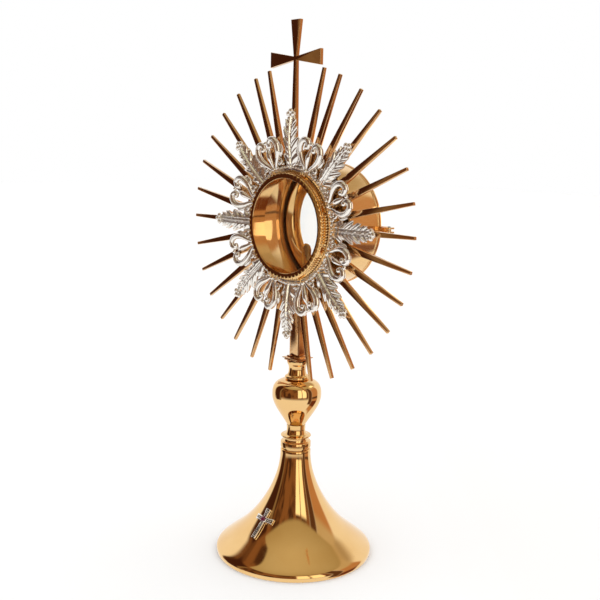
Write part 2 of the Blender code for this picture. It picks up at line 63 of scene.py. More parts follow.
bezel_low, bezel_high = node_box("front_bezel")
foot_high = node_box("foot")[1]
CENTRE_HEIGHT = (bezel_low.z + bezel_high.z) / 2
FOOT_RADIUS = foot_high.x - 0.01   # a hair inside the CAD foot
BEZEL_FRONT = -bezel_low.y
SLEEVE_RADIUS = 50.0
OPENING_RADIUS = 45.0
DRUM_RADIUS = 59.5
DRUM_BORE = 58.0
DRUM_FRONT = -node_box("drum")[0].y
DRUM_BACK = -node_box("drum")[1].y
RAY_PLANE = 10.2
RAY_TIP_RADIUS = node_box("ray_right_08")[1].x
ORNAMENT_BACK = -node_box("ornament_1")[1].y
HINGE = Vector((76.0, 41.75, 328.0))
EAR_NEAR, EAR_FAR = 1.2, 2.7      # the door's hinge ears span these heights from the hinge's middle
ROD_CLEARANCE = 3.4
CROSS_HEIGHT = 40.5       # of the foot cross's stone above the table

TURN_STEPS = 160
HEAD = Matrix.Translation((0.0, 0.0, CENTRE_HEIGHT * MM)) @ Matrix.Rotation(math.pi / 2, 4, "X")

# Camera
VIEW_AZIMUTH = 46.07
VIEW_ELEVATION = 9.44
VIEW_ROLL = 1.29
VIEW_DISTANCE = 865.4
AIM_RIGHT = 6.85          # the optical axis passes this far right of the chamber's centre
AIM_DOWN = 70.97          # and this far below it
LENS = 54.4


# Curves

def bezier(start, start_handle, end_handle, end, pieces):
    """Points of a cubic curve after its start, up to and with its end."""
    points = []
    for index in range(1, pieces + 1):
        t = index / pieces
        s = 1.0 - t
        weights = (s ** 3, 3 * s * s * t, 3 * s * t * t, t ** 3)
        corners = (start, start_handle, end_handle, end)
        points.append(tuple(sum(w * c[axis] for w, c in zip(weights, corners)) for axis in (0, 1)))
    return points


def arc(centre, radius, start_degrees, end_degrees, pieces):
    """Points along an arc, both ends included."""
    points = []
    for index in range(pieces + 1):
        angle = math.radians(start_degrees + (end_degrees - start_degrees) * index / pieces)
        x = centre[0] + radius * math.cos(angle)
        points.append((x, centre[1] + radius * math.sin(angle)))
    return points


def spline(points, pieces):
    """Catmull-Rom curve through points of any dimension, pieces steps to a span."""
    padded = [points[0]] + list(points) + [points[-1]]
    result = []
    for index in range(len(points) - 1):
        a, b, c, d = (np.array(p, float) for p in padded[index:index + 4])
        for step in range(pieces):
            t = step / pieces
            cubic = (3 * b - a - 3 * c + d) * t ** 3
            square = (2 * a - 5 * b + 4 * c - d) * t ** 2
            result.append(0.5 * (2 * b + (c - a) * t + square + cubic))
    result.append(np.array(points[-1], float))
    return result


def inset(points, depth):
    """The outline moved to its right-hand side by depth."""
    result = []
    for index, point in enumerate(points):
        before = Vector(points[max(index - 1, 0)])
        after = Vector(points[min(index + 1, len(points) - 1)])
        along = (after - before).normalized()
        result.append((point[0] + along.y * depth, point[1] - along.x * depth))
    return result


# Bodies

def face_outwards(body):
    bmesh.ops.recalc_face_normals(body, faces=body.faces)
    if body.calc_volume(signed=True) < 0.0:
        bmesh.ops.reverse_faces(body, faces=body.faces)


def turned(outline, steps=TURN_STEPS, flute=None):
    """Spin (radius, height) points about local Z. A point on the axis becomes a pole."""
    body = bmesh.new()
    rings = []
    for radius, height in outline:
        if radius < 1e-6:
            rings.append([body.verts.new((0.0, 0.0, height * MM))])
            continue
        ring = []
        for step in range(steps):
            angle = math.tau * step / steps
            cut = flute(radius, height, angle) if flute else 0.0
            spoke = (radius - cut) * MM
            ring.append(body.verts.new((spoke * math.cos(angle), spoke * math.sin(angle), height * MM)))
        rings.append(ring)
    pairs = list(zip(rings, rings[1:]))
    if len(rings[0]) > 1:
        pairs.append((rings[-1], rings[0]))
    for first, second in pairs:
        for step in range(steps):
            after = (step + 1) % steps
            if len(first) == 1:
                body.faces.new((first[0], second[step], second[after]))
            elif len(second) == 1:
                body.faces.new((first[step], second[0], first[after]))
            else:
                body.faces.new((first[step], second[step], second[after], first[after]))
    face_outwards(body)
    return body


def prism(outline, low, high):
    """Extrude a flat (x, y) outline from height low to height high along local Z."""
    body = bmesh.new()
    face = body.faces.new([body.verts.new((x * MM, y * MM, low * MM)) for x, y in outline])
    result = bmesh.ops.extrude_face_region(body, geom=[face])
    top = [item for item in result["geom"] if isinstance(item, bmesh.types.BMVert)]
    bmesh.ops.translate(body, verts=top, vec=(0, 0, (high - low) * MM))
    face_outwards(body)
    return body


def block(low, high):
    outline = [(low[0], low[1]), (high[0], low[1]), (high[0], high[1]), (low[0], high[1])]
    return prism(outline, low[2], high[2])


def softened(body, width, segments=2, limit=28.0):
    """Round every real edge of a body."""
    sharp = [e for e in body.edges if e.is_manifold and e.calc_face_angle() > math.radians(limit)]
    bmesh.ops.bevel(body, geom=sharp, offset=width * MM, segments=segments, profile=0.5,
                    affect="EDGES", clamp_overlap=True)
    return body


def moved(body, matrix):
    """The same body under a matrix whose translation is in millimetres."""
    scaled = matrix.copy()
    scaled.translation = matrix.translation * MM
    bmesh.ops.transform(body, matrix=scaled, verts=body.verts)
    return body


def gathered(bodies):
    """One bmesh holding several separate bodies."""
    result = bmesh.new()
    for body in bodies:
        mesh = bpy.data.meshes.new("gathered")
        body.to_mesh(mesh)
        body.free()
        result.from_mesh(mesh)
        bpy.data.meshes.remove(mesh)
    return result


def bead(centre, radius, squash=1.0):
    """Round drop, flattened along Z by squash."""
    body = bmesh.new()
    place = Matrix.Translation(Vector(centre) * MM) @ Matrix.Diagonal((1.0, 1.0, squash, 1.0))
    bmesh.ops.create_uvsphere(body, u_segments=18, v_segments=12, radius=radius * MM, matrix=place)
    return body


def strand(points, sides=12, pieces=5, squash=1.0):
    """Round-ended wire through (x, y, z, radius) points, its section flattened by squash."""
    path = spline(points, pieces)
    centres = [Vector(p[:3]) for p in path]
    body = bmesh.new()
    rings = []

    def add_ring(centre, along, radius):
        side = along.cross(Vector((0, 0, 1))).normalized()
        rise = side.cross(along).normalized()
        ring = []
        for step in range(sides):
            angle = math.tau * step / sides
            offset = side * math.cos(angle) + rise * (math.sin(angle) * squash)
            ring.append(body.verts.new((centre + offset * radius) * MM))
        rings.append(ring)

    last = len(path) - 1
    cap_angles = (70.0, 40.0)
    for index, centre in enumerate(centres):
        along = (centres[min(index + 1, last)] - centres[max(index - 1, 0)]).normalized()
        radius = float(path[index][3])
        if index == 0:
            for degrees in cap_angles:
                a = math.radians(degrees)
                add_ring(centre - along * radius * math.sin(a), along, radius * math.cos(a))
        add_ring(centre, along, radius)
        if index == last:
            for degrees in reversed(cap_angles):
                a = math.radians(degrees)
                add_ring(centre + along * radius * math.sin(a), along, radius * math.cos(a))
    for first, second in zip(rings, rings[1:]):
        for step in range(sides):
            after = (step + 1) % sides
            body.faces.new((first[step], second[step], second[after], first[after]))
    body.faces.new(rings[0])
    body.faces.new(rings[-1])
    face_outwards(body)
    return body


def sheet_solid(top, depth):
    """Closed sheet under a grid of top points, depth thick."""
    body = bmesh.new()
    upper = [[body.verts.new(Vector(p) * MM) for p in row] for row in top]
    lower = [[body.verts.new((Vector(p) - Vector((0, 0, depth))) * MM) for p in row] for row in top]
    rows, columns = len(top), len(top[0])
    for i in range(rows - 1):
        for j in range(columns - 1):
            body.faces.new((upper[i][j], upper[i][j + 1], upper[i + 1][j + 1], upper[i + 1][j]))
            body.faces.new((lower[i][j], lower[i + 1][j], lower[i + 1][j + 1], lower[i][j + 1]))
    rim = [(0, j) for j in range(columns)] + [(i, columns - 1) for i in range(1, rows)]
    rim += [(rows - 1, j) for j in range(columns - 2, -1, -1)] + [(i, 0) for i in range(rows - 2, 0, -1)]
    for (i, j), (k, l) in zip(rim, rim[1:] + rim[:1]):
        body.faces.new((upper[i][j], lower[i][j], lower[k][l], upper[k][l]))
    face_outwards(body)
    return body


def mark_relief(mesh, reach=0.6):
    """Store how convex (1) or hollow (-1) the surface is at each point, for wear and tarnish."""
    count = len(mesh.vertices)
    places = np.empty(count * 3, np.float32)
    normals = np.empty(count * 3, np.float32)
    ends = np.empty(len(mesh.edges) * 2, np.int32)
    mesh.vertices.foreach_get("co", places)
    mesh.vertex_normals.foreach_get("vector", normals)
    mesh.edges.foreach_get("vertices", ends)
    places, normals = places.reshape(-1, 3), normals.reshape(-1, 3)
    first, second = ends[0::2], ends[1::2]
    along = places[second] - places[first]
    bend = ((normals[second] - normals[first]) * along).sum(1) / np.maximum((along ** 2).sum(1), 1e-12)
    total, share = np.zeros(count), np.zeros(count)
    for end in (first, second):
        np.add.at(total, end, bend)
        np.add.at(share, end, 1.0)
    relief = np.clip(total / np.maximum(share, 1.0) * reach * MM, -1.0, 1.0)
    attribute = mesh.attributes.new("relief", "FLOAT", "POINT")
    attribute.data.foreach_set("value", relief.astype(np.float32))


def add_piece(name, body, material, nodes, rides=VESSEL, place=None, sharp=38.0):
    """Make a visible piece that stands for some CAD nodes."""
    if place is not None:
        bmesh.ops.transform(body, matrix=place, verts=body.verts)
    mesh = bpy.data.meshes.new(name)
    body.to_mesh(mesh)
    body.free()
    mesh.shade_smooth()
    mesh.set_sharp_from_angle(angle=math.radians(sharp))
    mark_relief(mesh)
    mesh.materials.append(material)
    item = bpy.data.objects.new(name, mesh)
    bpy.context.scene.collection.objects.link(item)
    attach(item, rides)
    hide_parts(*nodes)
    return item


# Materials

class Nodes:
    """Short way to write a node tree."""

    def __init__(self, tree):
        self.tree = tree

    def add(self, kind, settings=None, **inputs):
        node = self.tree.nodes.new(kind)
        for key, value in (settings or {}).items():
            setattr(node, key, value)
        for key, value in inputs.items():
            self.feed(node.inputs[int(key[1:]) if key[1:].isdigit() else key.replace("_", " ")], value)
        return node

    def feed(self, socket, value):
        if isinstance(value, bpy.types.NodeSocket):
            self.tree.links.new(value, socket)
        else:
            socket.default_value = value

    def math(self, operation, first, second=0.0, clamp=False):
        node = self.add("ShaderNodeMath", {"operation": operation, "use_clamp": clamp}, i0=first, i1=second)
        return node.outputs[0]

    def remap(self, value, low, high, to_low=0.0, to_high=1.0, smooth=False):
        kind = {"interpolation_type": "SMOOTHSTEP" if smooth else "LINEAR", "clamp": True}
        node = self.add("ShaderNodeMapRange", kind, i0=value, i1=low, i2=high, i3=to_low, i4=to_high)
        return node.outputs[0]

    def mix(self, share, first, second):
        node = self.add("ShaderNodeMix", {"data_type": "RGBA"}, i0=share, i6=first, i7=second)
        return node.outputs[2]

    def noise(self, vector, scale, detail=3.0, roughness=0.5):
        settings = {"Vector": vector, "Scale": scale, "Detail": detail, "Roughness": roughness}
        return self.add("ShaderNodeTexNoise", None, **settings).outputs[0]

    def stretch(self, vector, scale, turn=(0.0, 0.0, 0.0)):
        node = self.add("ShaderNodeMapping", None, Vector=vector, Scale=scale, Rotation=turn)
        return node.outputs[0]


def new_material(name):
    material = bpy.data.materials.new(name)
    material.use_nodes = True
    nodes = Nodes(material.node_tree)
    shader = material.node_tree.nodes["Principled BSDF"]
    return material, nodes, shader


def rgb(red, green, blue):
    return (red, green, blue, 1.0)


def polished_metal(name, color, deep, worn, tarnish, polish, grain, tarnish_share=0.6, mirror=1.0):
    """Polished plate with cloudy lacquer, hairlines, sparse scratches, worn edges and dull recesses.

    polish is (least, most) roughness. grain stretches the hairlines: its smallest value is their direction.
    """
    material, nodes, shader = new_material(name)
    place = nodes.add("ShaderNodeTexCoord").outputs["Object"]
    relief = nodes.add("ShaderNodeAttribute", {"attribute_name": "relief"}).outputs["Fac"]
    edge = nodes.remap(relief, 0.25, 0.9)
    hollow = nodes.remap(relief, -0.08, -0.6)
    cloud = nodes.remap(nodes.noise(place, 26.0, 4.0), 0.36, 0.66)
    smudge = nodes.remap(nodes.noise(place, 95.0, 5.0, 0.62), 0.5, 0.72)
    speck = nodes.noise(place, 420.0, 2.0)
    hairline = nodes.noise(nodes.stretch(place, grain), 1.0, 3.0, 0.6)
    crossing_turn = (0.5, 0.35, 0.8)
    scratch = nodes.remap(nodes.noise(nodes.stretch(place, grain, crossing_turn), 0.6, 1.0), 0.68, 0.75)
    base = nodes.mix(nodes.math("MULTIPLY", cloud, 0.45), color, deep)
    rubbed = nodes.math("MULTIPLY", edge, nodes.remap(speck, 0.35, 0.6, 0.25, 0.75))
    base = nodes.mix(rubbed, base, worn)
    dull = nodes.math("MULTIPLY", hollow, nodes.remap(cloud, 0.0, 1.0, 0.6 * tarnish_share, tarnish_share))
    base = nodes.mix(dull, base, tarnish)
    rough = nodes.remap(cloud, 0.0, 1.0, polish[0], polish[1])
    rough = nodes.math("ADD", rough, nodes.math("MULTIPLY", smudge, 0.035))
    rough = nodes.math("ADD", rough, nodes.math("MULTIPLY", edge, 0.05))
    rough = nodes.math("ADD", rough, nodes.math("MULTIPLY", dull, 0.3))
    height = nodes.math("ADD", nodes.math("MULTIPLY", hairline, 0.5), nodes.math("MULTIPLY", scratch, -0.8))
    bump = nodes.add("ShaderNodeBump", None, Strength=0.16, Distance=0.00001, Height=height).outputs[0]
    shader.inputs["Metallic"].default_value = mirror
    nodes.feed(shader.inputs["Base Color"], base)
    nodes.feed(shader.inputs["Roughness"], rough)
    nodes.feed(shader.inputs["Normal"], bump)
    return material


def gilt(name, polish, grain, **changes):
    settings = {
        "color": rgb(0.89, 0.59, 0.27),
        "deep": rgb(0.80, 0.47, 0.17),
        "worn": rgb(0.92, 0.71, 0.43),
        "tarnish": rgb(0.26, 0.11, 0.035),
    }
    settings.update(changes)
    return polished_metal(name, polish=polish, grain=grain, **settings)


def clear_glass(name):
    """Thin pane: mostly clear, with a mirror film that grows at a glancing angle."""
    material, nodes, shader = new_material(name)
    facing = nodes.add("ShaderNodeLayerWeight", None, Blend=0.5).outputs["Facing"]
    film = nodes.math("ADD", nodes.math("MULTIPLY", nodes.math("POWER", facing, 5.0), 0.9), 0.03)
    place = nodes.add("ShaderNodeTexCoord").outputs["Object"]
    wipe = nodes.remap(nodes.noise(nodes.stretch(place, (40.0, 40.0, 300.0)), 1.0, 3.0), 0.4, 0.8, 0.0, 0.06)
    shader.inputs["Base Color"].default_value = rgb(0.96, 0.99, 0.98)
    shader.inputs["Metallic"].default_value = 1.0
    nodes.feed(shader.inputs["Roughness"], wipe)
    clear = nodes.add("ShaderNodeBsdfTransparent", None, Color=rgb(0.995, 0.998, 0.996)).outputs[0]
    pane = nodes.add("ShaderNodeMixShader", None, i0=film, i1=clear, i2=shader.outputs[0]).outputs[0]
    output = material.node_tree.nodes["Material Output"]
    nodes.feed(output.inputs["Surface"], pane)
    return material


def garnet_stone(name):
    material, nodes, shader = new_material(name)
    place = nodes.add("ShaderNodeTexCoord").outputs["Object"]
    cloud = nodes.remap(nodes.noise(place, 500.0, 3.0), 0.35, 0.65)
    base = nodes.mix(cloud, rgb(0.05, 0.001, 0.015), rgb(0.17, 0.006, 0.045))
    nodes.feed(shader.inputs["Base Color"], base)
    nodes.feed(shader.inputs["Roughness"], nodes.remap(cloud, 0.0, 1.0, 0.03, 0.08))
    shader.inputs["IOR"].default_value = 1.76
    shader.inputs["Coat Weight"].default_value = 0.2
    return material


PLAIN_GRAIN = (900.0, 900.0, 60.0)
BAR_GRAIN = (260.0, 260.0, 40.0)
TURNED_GRAIN = (30.0, 30.0, 2600.0)
RADIAL_GRAIN = (70.0, 900.0, 70.0)

gilt_turned = gilt("gilt_turned", (0.035, 0.075), TURNED_GRAIN)
# Bar gilt: the same gilt with its colours darkened as painted shade, so the rays, cross plate, post and hinge
# look as dim as the dark room they reflect
painted_shade_gilt_bar = gilt(
    "painted_shade_gilt_bar", (0.07, 0.12), BAR_GRAIN, color=rgb(0.74, 0.43, 0.19), deep=rgb(0.62, 0.31, 0.12),
    worn=rgb(0.84, 0.58, 0.32))
gilt_bezel = gilt("gilt_bezel", (0.07, 0.14), RADIAL_GRAIN, tarnish_share=0.85)
gilt_chamber = gilt("gilt_chamber", (0.05, 0.10), RADIAL_GRAIN, mirror=0.9)
silver = polished_metal(
    "silver_casting", rgb(0.93, 0.90, 0.86), rgb(0.84, 0.80, 0.75), rgb(0.97, 0.96, 0.94),
    rgb(0.06, 0.045, 0.035), (0.05, 0.12), PLAIN_GRAIN, tarnish_share=0.95, mirror=0.93)
niello = polished_metal(
    "blackened_silver", rgb(0.09, 0.075, 0.07), rgb(0.05, 0.04, 0.04), rgb(0.4, 0.38, 0.36),
    rgb(0.02, 0.02, 0.02), (0.3, 0.45), PLAIN_GRAIN)
steel = polished_metal(
    "steel_turned", rgb(0.55, 0.55, 0.56), rgb(0.42, 0.42, 0.43), rgb(0.7, 0.7, 0.7),
    rgb(0.12, 0.1, 0.08), (0.22, 0.36), TURNED_GRAIN)
glass = clear_glass("pane_glass")
garnet = garnet_stone("garnet")


# Foot and stem

def foot_profile():
    """Outer side of the spun foot, from the neck down to the top of the rim."""
    neck = (15.1, 103.0)
    turn_over = (57.5, 22.4)
    rim_top = (FOOT_RADIUS, 3.5)
    upper = bezier(neck, (15.2, 72.5), (36.4, 39.2), turn_over, 34)
    return [neck] + upper + bezier(turn_over, (74.5, 8.9), (FOOT_RADIUS, 7.2), rim_top, 22)


def build_foot():
    wall = 1.9
    outer = foot_profile()
    inner = inset(outer, wall)
    crown = [(ROD_CLEARANCE, foot_high.z), (13.0, foot_high.z)]
    crown += arc((13.6, foot_high.z - 1.5), 1.5, 90, 0, 5)
    rim = [(FOOT_RADIUS - 0.1, 1.6), (FOOT_RADIUS - 0.4, 0.6), (77.1, 0.0)]
    rim += [(75.2, 0.0), (74.8, 1.4), (75.4, 3.0)]
    under_crown = [(12.6, 102.5), (ROD_CLEARANCE, 102.5)]
    outline = crown + outer + rim + inner[-2:0:-2] + under_crown
    add_piece("foot_spinning", turned(outline, 224), gilt_turned, ["foot"], sharp=50.0)


def build_stem():
    low = node_box("lower_collar")[0].z
    top = node_box("lower_collar")[1].z
    spool = [(9.4, top)] + bezier((9.4, top), (9.0, top - 6.0), (9.1, 122.0), (11.6, 120.5), 10)
    flange = [(14.6, 120.4)] + arc((14.6, 119.6), 0.5, 80, -80, 6)
    cove = [(14.2, 118.7)] + arc((15.2, 116.6), 3.3, 130, 230, 12)
    step = [(14.4, 114.1)] + arc((14.5, 113.2), 0.6, 80, 0, 4)
    step += [(15.1, 108.8)] + arc((14.5, 108.5), 0.6, 0, -80, 4)
    groove = [(13.3, 107.6), (13.3, low)]
    outline = [(ROD_CLEARANCE, top)] + spool + flange + cove + step + groove + [(ROD_CLEARANCE, low)]
    add_piece("collar_turning", turned(outline), gilt_turned, ["lower_collar"], sharp=50.0)

    low, top = (corner.z for corner in node_box("knop"))
    widest, widest_height = node_box("knop")[1].x, 161.5
    dome_height = 16.5
    shoulder = 2.0 / 3.0      # exponent of the dome's curve: 1 makes an ellipse, less a fuller shoulder
    cut_angle = math.asin(((top - widest_height) / dome_height) ** (1.0 / shoulder))
    pieces = 30
    dome = []
    for index in range(pieces + 1):
        angle = cut_angle * (1.0 - index / pieces)
        height = widest_height + dome_height * math.sin(angle) ** shoulder
        dome.append((widest * math.cos(angle) ** shoulder, height))
    vase = bezier((widest, widest_height), (widest, 151.5), (14.8, 141.0), (9.4, low), 34)
    outline = [(ROD_CLEARANCE, top)] + dome + vase + [(ROD_CLEARANCE, low)]
    add_piece("knop_turning", turned(outline), gilt_turned, ["knop"], sharp=50.0)

    low, top = (corner.z for corner in node_box("upper_spool"))
    waist = [(10.4, top - 0.2)] + bezier((10.4, top - 0.2), (10.3, 192.0), (8.5, 192.2), (8.5, 187.8), 12)
    waist += bezier((8.5, 187.8), (8.5, 184.0), (9.2, 182.4), (10.1, 181.4), 10)
    ball = arc((10.4, 179.2), 1.9, 75.0, -80.0, 14)
    outline = [(ROD_CLEARANCE, top)] + waist + ball + [(ROD_CLEARANCE, low)]
    add_piece("spool_turning", turned(outline), gilt_turned, ["upper_spool"], sharp=50.0)


def square(outline):
    """Four-sided turning of (half width, height) points, faces square to X and Y."""
    corner = math.sqrt(2.0)
    body = turned([(half * corner, height) for half, height in outline], 4)
    return moved(body, Matrix.Rotation(math.pi / 4, 4, "Z"))


def build_post():
    low, top = (corner.z for corner in node_box("plinth"))
    lips = [(7.4, top), (7.4, 199.7), (10.8, 199.3), (10.8, 198.5)]
    lips += [(8.3, 197.8), (9.5, 197.3), (9.5, 196.8), (8.6, low)]
    body = square([(ROD_CLEARANCE, top)] + lips + [(ROD_CLEARANCE, low)])
    add_piece("plinth_block", softened(body, 0.18), painted_shade_gilt_bar, ["plinth"])
    low, top = (corner.z for corner in node_box("post"))
    half = node_box("post")[1].x
    socket_top = 216.0
    outline = [(0.0, top), (half, top), (half, low)]
    outline += [(ROD_CLEARANCE, low), (ROD_CLEARANCE, socket_top), (0.0, socket_top)]
    add_piece("post_bar", softened(square(outline), 0.3), painted_shade_gilt_bar, ["post"])


def laid_on_foot(body):
    """Bend a flat body onto the front of the foot: x runs round it, y up its slope, z off it."""
    profile = np.array(foot_profile())
    lengths = np.concatenate([[0.0], np.cumsum(np.hypot(*np.diff(profile, axis=0).T))])
    home = np.interp(-CROSS_HEIGHT, -profile[:, 1], lengths)
    lift = 0.35
    reach = 1.5               # the slope is measured this far to either side
    for vert in body.verts:
        along = home - vert.co.y / MM
        radius, height = (np.interp(along, lengths, profile[:, axis]) for axis in (0, 1))
        ahead, rise = (np.interp(along + reach, lengths, profile[:, axis])
                       - np.interp(along - reach, lengths, profile[:, axis]) for axis in (0, 1))
        slope = math.atan2(-rise, ahead)
        off = vert.co.z / MM + lift
        turn = vert.co.x / MM / radius
        spoke = radius + off * math.sin(slope)
        place = (spoke * math.sin(turn), -spoke * math.cos(turn), height + off * math.cos(slope))
        vert.co = Vector(place) * MM
    return body


def build_foot_cross():
    """Silver Latin cross with beaded arms and a garnet in a raised collet."""
    half_bar, half_end, up, side, down = 2.1, 2.8, 11.0, 11.0, 21.0
    thickness = 1.7
    half_foot = half_bar + 0.4
    outline = [(half_bar, -half_bar), (half_foot, -down), (-half_foot, -down), (-half_bar, -half_bar)]
    outline += [(-side, -half_end), (-side, half_end), (-half_bar, half_bar), (-half_end, up), (half_end, up)]
    outline += [(half_bar, half_bar), (side, half_end), (side, -half_end)]
    bodies = [softened(prism(outline, 0.0, thickness), 0.22)]
    inlays = []
    arms = ((0.0, 1.0, up, 3), (-1.0, 0.0, side, 3), (1.0, 0.0, side, 3), (0.0, -1.0, down, 6))
    rail_gap, flare, wire = 1.5, 1.25, 0.34
    for along_x, along_y, reach, count in arms:
        for rail in (-1, 1):
            start = Vector((along_x * 3.6, along_y * 3.6, thickness))
            end = Vector((along_x * (reach - 0.5), along_y * (reach - 0.5), thickness))
            start += Vector((along_y, along_x, 0.0)) * rail * rail_gap
            end += Vector((along_y, along_x, 0.0)) * rail * rail_gap * flare
            bodies.append(strand([(*start, wire), (*end, wire)], 8, 2))
        near, far, half_inlay = 3.4, reach - 0.9, 1.15
        sides = ((near, -half_inlay), (far, -half_inlay), (far, half_inlay), (near, half_inlay))
        corners = [(along_x * d + along_y * w, along_y * d + along_x * w) for d, w in sides]
        inlays.append(prism(corners, thickness - 0.2, thickness + 0.12))
        for index in range(count):
            distance = 5.2 + (reach - 7.6) * index / max(count - 1, 1)
            bodies.append(bead((along_x * distance, along_y * distance, thickness), 0.62, 0.9))
    collet = [(3.5, thickness - 0.2), (3.7, 2.2), (3.4, 2.7), (3.1, 2.7), (3.0, 2.2), (3.0, thickness - 0.2)]
    bodies.append(turned(collet, 48))
    claw_count = 4
    for index in range(claw_count):
        angle = math.tau * (index + 0.5) / claw_count
        bodies.append(bead((3.1 * math.cos(angle), 3.1 * math.sin(angle), 3.0), 0.45))
    add_piece("cross_casting", laid_on_foot(gathered(bodies)), silver, ["foot_cross"])
    add_piece("cross_inlay", laid_on_foot(gathered(inlays)), niello, ["foot_cross"])
    dome = [(0.0, 4.4), (1.0, 4.28), (1.9, 3.9), (2.6, 3.3), (2.95, 2.6), (2.95, 2.0), (0.0, 2.0)]
    stone = laid_on_foot(turned(dome, 32))
    add_piece("garnet_cabochon", stone, garnet, ["foot_cross_stone"])


# Sunburst

def build_rays():
    """Tapered square-ended bars, each a little out of true as soldered by hand."""
    wobble = random.Random(7)
    root_radius = 56.0
    root_size, tip_size = (7.6, 4.6), (3.0, 3.0)
    step = 360.0 / 32
    first_ray = 14.5
    out_of_true = 0.25        # degrees
    for index in range(1, 16):
        for name, side in (("right", -1), ("left", 1)):
            body = bmesh.new()
            rings = []
            for radius, (width, depth) in ((root_radius, root_size), (RAY_TIP_RADIUS - 0.1, tip_size)):
                ring = []
                for x, z in ((-1, -1), (1, -1), (1, 1), (-1, 1)):
                    place = Vector((x * width / 2, radius, RAY_PLANE + z * depth / 2))
                    ring.append(body.verts.new(place * MM))
                rings.append(ring)
            body.faces.new(rings[0])
            body.faces.new(rings[1])
            for corner in range(4):
                after = (corner + 1) % 4
                body.faces.new((rings[0][corner], rings[0][after], rings[1][after], rings[1][corner]))
            face_outwards(body)
            softened(body, 0.38, 3)
            degrees = (first_ray if index == 1 else index * step) + wobble.uniform(-out_of_true, out_of_true)
            turn = Matrix.Rotation(math.radians(side * degrees), 4, "Z")
            node = f"ray_{name}_{index:02d}"
            add_piece(f"{node}_bar", body, painted_shade_gilt_bar, [node], place=HEAD @ turn)


def build_cross_ray():
    crossing = 155.0
    waist, arm, arm_flare, top, top_flare, root = 1.8, 33.4, 7.3, 190.0, 6.2, 3.8
    left = [(-root, 56.0), (-waist, crossing - waist), (-arm, crossing - arm_flare)]
    left += [(-arm, crossing + arm_flare), (-waist, crossing + waist), (-top_flare, top)]
    outline = left + [(-x, y) for x, y in reversed(left)]
    body = softened(prism(outline, RAY_PLANE - 2.0, RAY_PLANE + 2.0), 0.32, 3)
    add_piece("cross_plate", body, painted_shade_gilt_bar, ["cross_ray"], place=HEAD)


def build_sunburst_ring():
    outer = node_box("sunburst_ring")[1].x
    front = -node_box("sunburst_ring")[0].y
    back = -node_box("sunburst_ring")[1].y
    inner = SLEEVE_RADIUS + 0.4
    body = softened(turned([(inner, front), (outer, front), (outer, back), (inner, back)]), 0.25)
    add_piece("ring_plate", body, gilt_bezel, ["sunburst_ring"], place=HEAD)


# Silver ornament

def leaf_body(base):
    """Acanthus leaf pointing up: swept lobes, fine ribs, a raised midrib and a trefoil bud."""
    root, tip = 53.5, 103.5
    rows, columns = 160, 60
    outline = [(53.5, 7.0), (56.5, 10.8), (59.5, 10.0), (62.0, 7.2), (65.0, 10.2), (68.0, 11.0),
               (70.5, 10.0), (73.0, 7.0), (76.0, 9.2), (79.0, 9.6), (81.5, 8.6), (84.0, 6.0),
               (87.0, 7.6), (90.0, 7.2), (94.0, 5.0), (103.5, 3.0)]
    shape = spline(outline, 12)
    stations = [float(p[0]) for p in shape]
    spans = [float(p[1]) for p in shape]
    rib_pitch, rib_height = 4.6, 0.27
    furthest = 106.5          # no edge point passes this radius
    root_lift, belly = 1.4, 3.0
    grid = []
    for i in range(rows + 1):
        s = root + (tip - root) * i / rows
        rib_wave = math.cos(math.tau * (s - root) / rib_pitch)
        full = float(np.interp(s, stations, spans))
        half = full * (0.96 + 0.04 * rib_wave)
        lobe = min(1.0, full / 9.0)
        sweep = 0.6 + 0.75 * min(1.0, (s - root) / 14.0)
        arch = root_lift + belly * math.sin(math.pi * 0.9 * (s - root) / (tip - root))
        row = []
        for j in range(columns + 1):
            v = 2.0 * j / columns - 1.0
            x = v * half
            out = abs(v)
            midrib = 1.5 * math.exp(-(x / 0.8) ** 2)
            gutter = -0.9 * math.exp(-((abs(x) - 1.8) / 0.8) ** 2)
            cup = 2.2 * (lobe - 0.6) * math.sin(math.pi * min(1.0, out ** 0.8))
            ribs = rib_height * rib_wave * min(1.0, out * 2.0)
            curl = -1.2 * out ** 4
            lift = arch + midrib + gutter + cup + ribs + curl
            row.append((x, min(s + sweep * abs(x), furthest), base + lift))
        grid.append(row)
    end_height = base + root_lift + belly * math.sin(math.pi * 0.9) + 0.6
    bodies = [sheet_solid(grid, 1.1)]
    bud = ((0.0, 3.6, 2.7), (-3.3, 1.2, 2.4), (3.3, 1.2, 2.4), (0.0, -0.6, 1.8))
    for x, lift, radius in bud:
        bodies.append(bead((x, tip + lift, end_height), radius, 0.75))
        bodies.append(bead((x * 0.9, tip + lift - 0.2, end_height + radius * 0.6), radius * 0.45, 0.8))
    return gathered(bodies)


